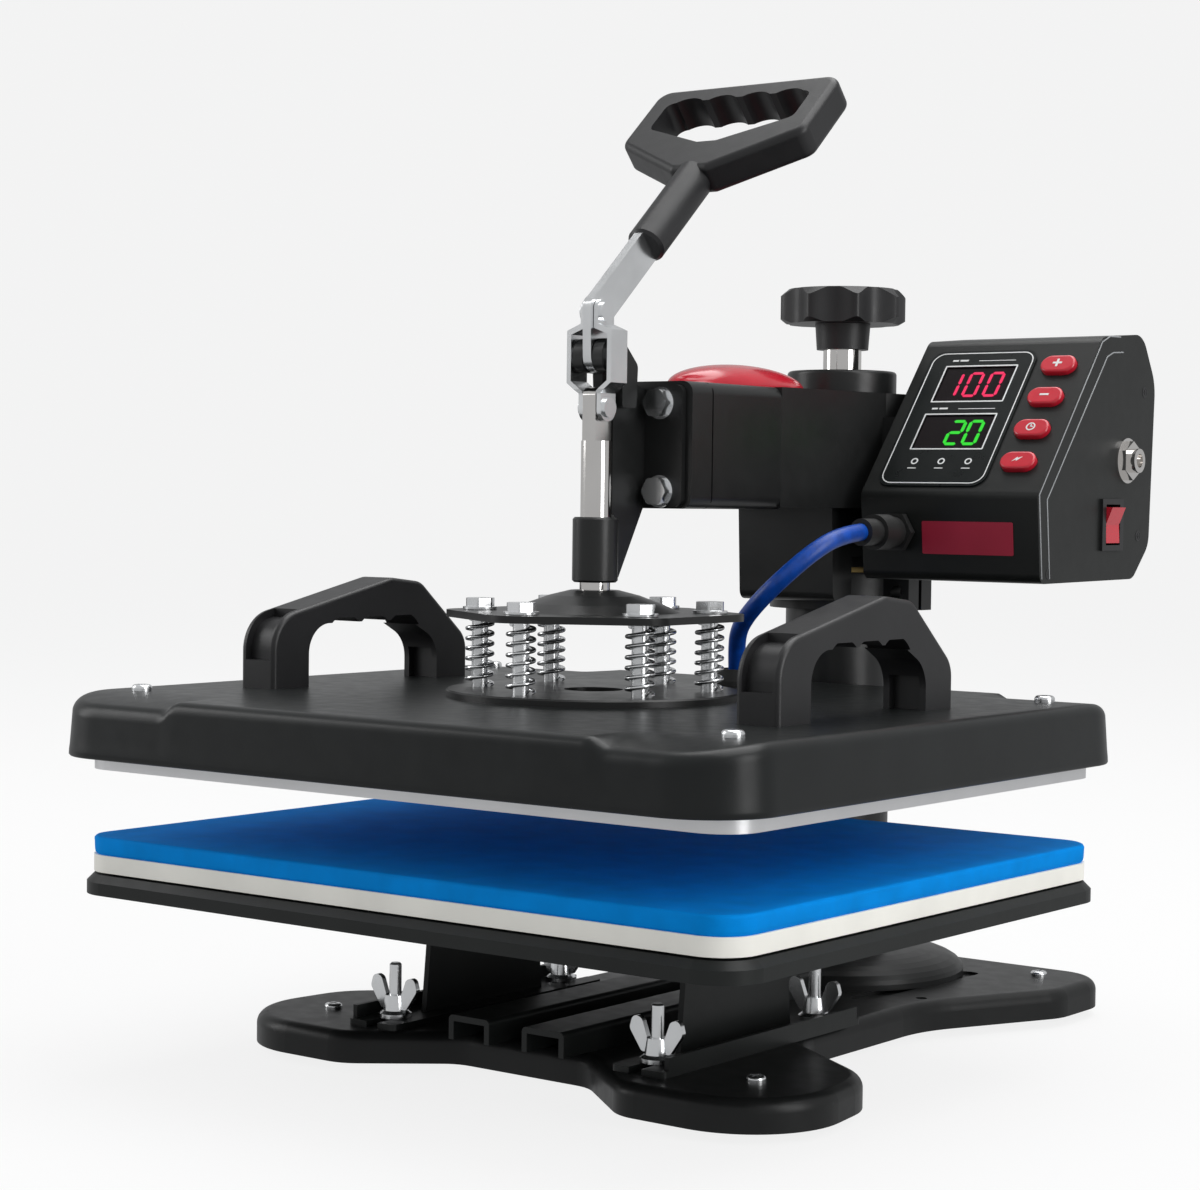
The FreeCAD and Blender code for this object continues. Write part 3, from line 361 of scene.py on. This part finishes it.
def dip_depth(x, y, half_y):
    """How far the front and rear edges lie below the flat top: they step down near the corners."""
    across = smoothstep((DIP_LEFT - x) / DIP_SLOPE) + smoothstep((x - DIP_RIGHT) / DIP_SLOPE)
    fade = max(0.0, 1 - (half_y - abs(y)) / DIP_REACH)
    return DIP_DEPTH * across * fade ** 2


def make_cover():
    """Formed cover: slightly spreading walls, a rounded rim and edges that dip near the corners."""
    low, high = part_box("platen_cover")
    half_x, half_y = (high.x - low.x) / 2, (high.y - low.y) / 2
    wall_top = high.z - COVER_RIM
    loops, heights = [], []

    def add_ring(inset, level, follow):
        """One ring; its points drop with the dips as far as follow says."""
        loop = rounded_loop(half_x - inset, half_y - inset, COVER_CORNER - inset, 16, 100)
        loops.append(loop)
        heights.append([level - follow * dip_depth(p.x, p.y, half_y) for p in loop])

    lower_lip = ((COVER_WALL + 0.002, 0.012), (COVER_WALL, 0.0015), (COVER_WALL - 0.0003, 0.0),
                 (0.0006, 0.0), (0.0, 0.0007), (0.0001, 0.003))
    for inset, rise in lower_lip:
        add_ring(inset, low.z + rise, 0.0)
    for share in (0.3, 0.6, 0.85, 0.97):
        add_ring(COVER_DRAFT * share, low.z + (wall_top - low.z) * share, share)
    steps = 10
    for step in range(steps + 1):
        turn = math.pi / 2 * step / steps
        add_ring(COVER_DRAFT + COVER_RIM * (1 - math.cos(turn)), wall_top + COVER_RIM * math.sin(turn), 1.0)
    inset = COVER_DRAFT + COVER_RIM
    while inset < half_y - 0.012:
        inset += 0.003 if inset < DIP_REACH else 0.02
        add_ring(min(inset, half_y - 0.003), high.z, 1.0)
    points = []
    for loop, levels in zip(loops, heights):
        points += [Vector((p.x, p.y + SHAFT_Y, z)) for p, z in zip(loop, levels)]
    faces = bridge(len(loops[0]), len(loops), False, True)
    cover = add_mesh("platen_cover_shell", points, faces, "cover_paint", "platen", replaces=("platen_cover",))
    sharpen(cover, 50)


def make_pad():
    """Sponge pad: a soft top edge, a flat top and slightly uneven sides."""
    low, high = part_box("silicone_pad")
    half_x, half_y = (high.x - low.x) / 2, (high.y - low.y) / 2
    corner, edge = 0.018, 0.0016
    rings = [(0.0012, low.z), (0.0004, low.z + 0.001)]
    rings += [(0.0, low.z + 0.0025), (0.0, high.z - edge - 0.001)]
    for step in range(7):
        turn = math.pi / 2 * step / 6
        rings.append((edge * (1 - math.cos(turn)), high.z - edge * (1 - math.sin(turn))))
    for inset in (0.006, 0.015, 0.035, 0.07, 0.11, 0.145):
        rings.append((inset, high.z))
    points = []
    for number, (inset, level) in enumerate(rings):
        for k, p in enumerate(rounded_loop(half_x - inset, half_y - inset, corner - inset)):
            wave = 0.00018 * math.sin(0.9 * k) * math.sin(0.37 * k + number) if 1 < number < 10 else 0.0
            outward = p.normalized() * (wave - 0.0002)
            points.append(Vector((p.x + outward.x, p.y + outward.y + SHAFT_Y, level)))
    count = len(rounded_loop(half_x, half_y, corner))
    faces = bridge(count, len(rings), True, True)
    pad = add_mesh("sponge_pad", points, faces, "silicone_blue", "root", replaces=("silicone_pad",))
    sharpen(pad, 50)


# ---------------------------------- control box -----------------------------
SLOPE_FOOT = Vector((0, SHAFT_Y + 0.168, 0.284))
SLOPE_UP = Vector((0, 0.068, 0.083)).normalized()
SLOPE_OUT = Vector((0, -SLOPE_UP.z, SLOPE_UP.y))
FACIA_TOP = 0.0008
WINDOW_TOP = 0.0
BUTTON_TOP = 0.0032
BUTTON_X = 0.133
STATIONS = {"button_up": 0.087, "button_down": 0.065, "button_timer": 0.043, "button_mode": 0.021}


def on_slope(across, up, out):
    """Point on the sloping face: across along X, up the slope, out from its surface."""
    return SLOPE_FOOT + Vector((across, 0, 0)) + SLOPE_UP * up + SLOPE_OUT * out


def loop_at(x0, x1, y0, y1, radius):
    """Rounded rectangle given by its sides."""
    middle = Vector(((x0 + x1) / 2, (y0 + y1) / 2))
    return [tuple(middle + p) for p in rounded_loop((x1 - x0) / 2, (y1 - y0) / 2, radius, 6, 2)]


def outline_band(x0, x1, y0, y1, radius, width, low, high):
    """Rounded rectangular line of a given width on the sloping face."""
    outer = loop_at(x0, x1, y0, y1, radius)
    inner = loop_at(x0 + width, x1 - width, y0 + width, y1 - width, max(radius - width, 0.0002))
    return frame_strip(outer, inner, on_slope, low, high)


def segment(start, end, width, slant):
    """A flat six-sided bar between two places on a digit, leaning by slant."""
    start, end = Vector(start), Vector(end)
    along = (end - start).normalized()
    side = Vector((-along.y, along.x)) * width / 2
    tip = along * width / 2
    corners = [start, start + tip + side, end - tip + side, end, end - tip - side, start + tip - side]
    return [(c.x + slant * c.y, c.y) for c in corners]


DIGIT_LEAN = 0.03


def digit(character, x, y, width, height, stroke):
    """Seven-segment digit with its lower left corner at (x, y)."""
    gap = stroke * 0.12
    left, right, bottom, middle, top = gap, width - gap, 0.0, height / 2, height
    bars = {
        "a": ((left, top), (right, top)), "d": ((left, bottom), (right, bottom)),
        "g": ((left, middle), (right, middle)),
        "f": ((0, middle + gap), (0, top - gap)), "b": ((width, middle + gap), (width, top - gap)),
        "e": ((0, bottom + gap), (0, middle - gap)), "c": ((width, bottom + gap), (width, middle - gap)),
    }
    lit = {"0": "abcdef", "1": "bc", "2": "abged"}[character]
    shapes = []
    for name in lit:
        flat = segment(*bars[name], stroke, DIGIT_LEAN)
        shapes.append(extruded([(x + a, y + b) for a, b in flat], on_slope, WINDOW_TOP - 0.0002,
                               WINDOW_TOP + 0.0002))
    return shapes


def circle(x, y, radius, count=24):
    return [(x + radius * math.cos(math.tau * k / count), y + radius * math.sin(math.tau * k / count))
            for k in range(count)]


def make_displays():
    """Printed outlines, plain bars and rings on the facia, and the two lit numbers."""
    ink_low, ink_high = FACIA_TOP - 0.0002, FACIA_TOP + 0.00012
    bands = [outline_band(0.0555, 0.1165, 0.0065, 0.0975, 0.007, 0.0006, ink_low, ink_high)]
    for low, high in ((0.0625, 0.0885), (0.0295, 0.0545)):
        bands.append(outline_band(0.0652, 0.1088, low, high, 0.0006, 0.0008, ink_low, ink_high))
    for up in (0.0915, 0.0575):
        for start, end in ((0.068, 0.0715), (0.0725, 0.0775), (0.084, 0.106)):
            thick = 0.0004 if end > 0.1 else 0.0011
            flat = [(start, up), (end, up), (end, up + thick), (start, up + thick)]
            bands.append(extruded(flat, on_slope, ink_low, ink_high))
    for across in (0.0715, 0.0875, 0.1035):
        ring, hole = circle(across, 0.0215, 0.0021, 20), circle(across, 0.0215, 0.0013, 20)
        bands.append(frame_strip(ring, hole, on_slope, ink_low, ink_high))
        flat = [(across - 0.0025, 0.0165), (across + 0.0025, 0.0165), (across + 0.0025, 0.0171),
                (across - 0.0025, 0.0171)]
        bands.append(extruded(flat, on_slope, ink_low, ink_high))
    points, faces = joined(bands)
    add_mesh("facia_print", points, faces, "board_white", "arm", smooth=False, paint=materials["white_ink"])

    red = digit("1", 0.0700, 0.0675, 0.0072, 0.0158, 0.0017)
    red += digit("0", 0.0822, 0.0675, 0.0072, 0.0158, 0.0017)
    red += digit("0", 0.0945, 0.0675, 0.0072, 0.0158, 0.0017)
    green = digit("2", 0.0838, 0.0340, 0.0074, 0.0155, 0.0019)
    green += digit("0", 0.0945, 0.0340, 0.0074, 0.0155, 0.0019)
    for name, lit, paint in (("temperature_digits", red, "red_glow"), ("timer_digits", green, "green_glow")):
        points, faces = joined(lit)
        add_mesh(name, points, faces, "display", "arm", smooth=False, paint=materials[paint])


def make_button_marks():
    """Plus, minus, clock and arrow on the four buttons."""
    low, high = BUTTON_TOP - 0.0002, BUTTON_TOP + 0.00015
    x = BUTTON_X

    def bar(cx, cy, half_a, half_b):
        return extruded([(cx - half_a, cy - half_b), (cx + half_a, cy - half_b), (cx + half_a, cy + half_b),
                         (cx - half_a, cy + half_b)], on_slope, low, high)

    s = STATIONS["button_up"]
    marks = {"button_up": [bar(x, s, 0.0026, 0.0006), bar(x, s + 0.0016, 0.0006, 0.001),
                           bar(x, s - 0.0016, 0.0006, 0.001)]}
    s = STATIONS["button_down"]
    marks["button_down"] = [bar(x, s, 0.0026, 0.0006)]
    s = STATIONS["button_timer"]
    marks["button_timer"] = [frame_strip(circle(x, s, 0.0026), circle(x, s, 0.0019), on_slope, low, high),
                             bar(x, s + 0.0006, 0.0003, 0.0009), bar(x + 0.0005, s, 0.0008, 0.0003)]
    s = STATIONS["button_mode"]
    arrow = [(x - 0.0028, s - 0.0016), (x - 0.0004, s - 0.0002), (x - 0.0002, s - 0.0012),
             (x + 0.0028, s + 0.0016), (x + 0.0002, s + 0.0007), (x, s + 0.0015)]
    marks["button_mode"] = [extruded(arrow, on_slope, low, high)]
    for button, shapes in marks.items():
        points, faces = joined(shapes)
        add_mesh(button + "_mark", points, faces, "board_white", button, smooth=False,
                 paint=materials["white_ink"])


def front_face(across, up, out):
    """Point on the box's lower front face, which leans out a little towards the top."""
    lean = (0.172 - 0.168) / (0.284 - 0.239)
    return Vector((across, SHAFT_Y + 0.172 - (up - 0.239) * lean - out, up))


def make_label():
    """Plain red plate on the lower front, with nothing on it."""
    plate = loop_at(0.0835, 0.1365, 0.2530, 0.2700, 0.0008)
    points, faces = extruded(plate, front_face, -0.0001, 0.0004)
    add_mesh("rating_plate", points, faces, "red_plastic", "arm", smooth=False, paint=materials["label_red"])


SCREW_PLACES = ((0.2865, 0.3400), (0.2815, 0.2630), (0.1810, 0.2440))
SCREW_HEAD, SCREW_RIM = 0.0022, 0.0029
CROSS_REACH, CROSS_HALF = 0.0014, 0.00025


def make_case_screws():
    """Small countersunk cross-head screws that hold the side cover, almost flush with it."""
    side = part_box("control_side_cover")[1].x
    shapes = []
    for y, z in SCREW_PLACES:
        def place(a, b, out, y=y, z=z):
            return Vector((side + out, SHAFT_Y + y + a, z + b))
        shapes.append(frame_strip(circle(0, 0, SCREW_RIM), circle(0, 0, SCREW_HEAD), place, -0.0003, 0.00015))
        shapes.append(extruded(circle(0, 0, SCREW_HEAD), place, -0.0003, 0.00005))
        for half_a, half_b in ((CROSS_REACH, CROSS_HALF), (CROSS_HALF, CROSS_REACH)):
            bar = [(-half_a, -half_b), (half_a, -half_b), (half_a, half_b), (-half_a, half_b)]
            shapes.append(extruded(bar, place, 0.0, 0.0002))
    points, faces = joined(shapes)
    add_mesh("case_screws", points, faces, "black_plastic", "arm", smooth=False)


def make_side_highlight_and_line():
    """Two fine raised grey lines that follow the front edge of the side cover: the outer one, 1.2 mm in, is a
    painted highlight standing for the light on the edge's rounding, and the inner one runs 9.5 mm in.
    """
    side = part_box("control_side_cover")[1].x
    for number, inset in enumerate((0.0012, 0.0095)):
        route = [(0.1725 + inset, 0.2415), (0.1685 + inset, 0.2845 - inset * 0.3),
                 (0.2350 + inset * 0.7, 0.3655 - inset * 0.9), (0.2440 + inset * 0.5, 0.3690 - inset),
                 (0.2560 + inset * 0.4, 0.3692 - inset * 0.95)]
        curve = bpy.data.curves.new("side_line_%d" % number, "CURVE")
        curve.dimensions = "3D"
        spline = curve.splines.new("POLY")
        spline.points.add(len(route) - 1)
        for point, (y, z) in zip(spline.points, route):
            point.co = (side, SHAFT_Y + y, z, 1)
        curve.bevel_depth = 0.0004
        # On the line at the smaller inset this grey is a painted highlight along the edge's rounding.
        curve.materials.append(materials["edge_highlight_and_line_grey"])
        line = bpy.data.objects.new("side_line_%d" % number, curve)
        bpy.context.scene.collection.objects.link(line)
        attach(line, "arm")


# ------------------------------------ cable ---------------------------------
CABLE_RADIUS = 0.0045
CABLE_ROUTE = [
    (0.0690, 0.0685, 0.2640),
    (0.0690, 0.0495, 0.2625),
    (0.0640, 0.0335, 0.2550),
    (0.0540, 0.0235, 0.2430),
    (0.0410, 0.0215, 0.2310),
    (0.0280, 0.0265, 0.2210),
    (0.0170, 0.0350, 0.2125),
    (0.0105, 0.0430, 0.2015),
    (0.0080, 0.0475, 0.1892),
]


def smooth_line(route):
    """Points along the smooth curve that the route's points control."""
    curve = bpy.data.curves.new("route", "CURVE")
    curve.dimensions = "3D"
    curve.resolution_u = 16
    spline = curve.splines.new("NURBS")
    spline.points.add(len(route) - 1)
    for point, place in zip(spline.points, route):
        point.co = (*place, 1)
    spline.order_u = 3
    spline.use_endpoint_u = True
    holder = bpy.data.objects.new("route", curve)
    bpy.context.scene.collection.objects.link(holder)
    bpy.context.view_layer.update()
    mesh = bpy.data.meshes.new_from_object(holder)
    line = [v.co.copy() for v in mesh.vertices]
    bpy.data.objects.remove(holder)
    bpy.data.curves.remove(curve)
    bpy.data.meshes.remove(mesh)
    return line


def tube_along(line, radii, around=24):
    """Rings round a line, each with its own radius, turning as little as possible from one to the next."""
    points = []
    side = None
    for k, place in enumerate(line):
        ahead = line[min(k + 1, len(line) - 1)] - line[max(k - 1, 0)]
        ahead.normalize()
        if side is None:
            side = ahead.orthogonal().normalized()
        side = (side - ahead * side.dot(ahead)).normalized()
        other = ahead.cross(side)
        for step in range(around):
            turn = math.tau * step / around
            points.append(place + radii[k] * (math.cos(turn) * side + math.sin(turn) * other))
    return points, bridge(around, len(line), True, True)


def make_cable():
    """Blue heater cable from its plug on the box to the grommet on the cover."""
    line = smooth_line(CABLE_ROUTE)
    length = sum((b - a).length for a, b in zip(line, line[1:]))
    points, faces = tube_along(line, [CABLE_RADIUS] * len(line))
    cable = add_mesh("blue_heater_cable", points, faces, "cable_blue", None, replaces=("heater_cable",))
    sharpen(cable, 60)
    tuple(line[0])
    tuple(line[-1])
    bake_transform(cable)


# ------------------------------------ build ---------------------------------
add_camera()
add_studio()
materials = make_materials()
paint_frame(materials)
make_cover()
make_pad()
make_displays()
make_button_marks()
make_label()
make_case_screws()
make_side_highlight_and_line()
make_cable()
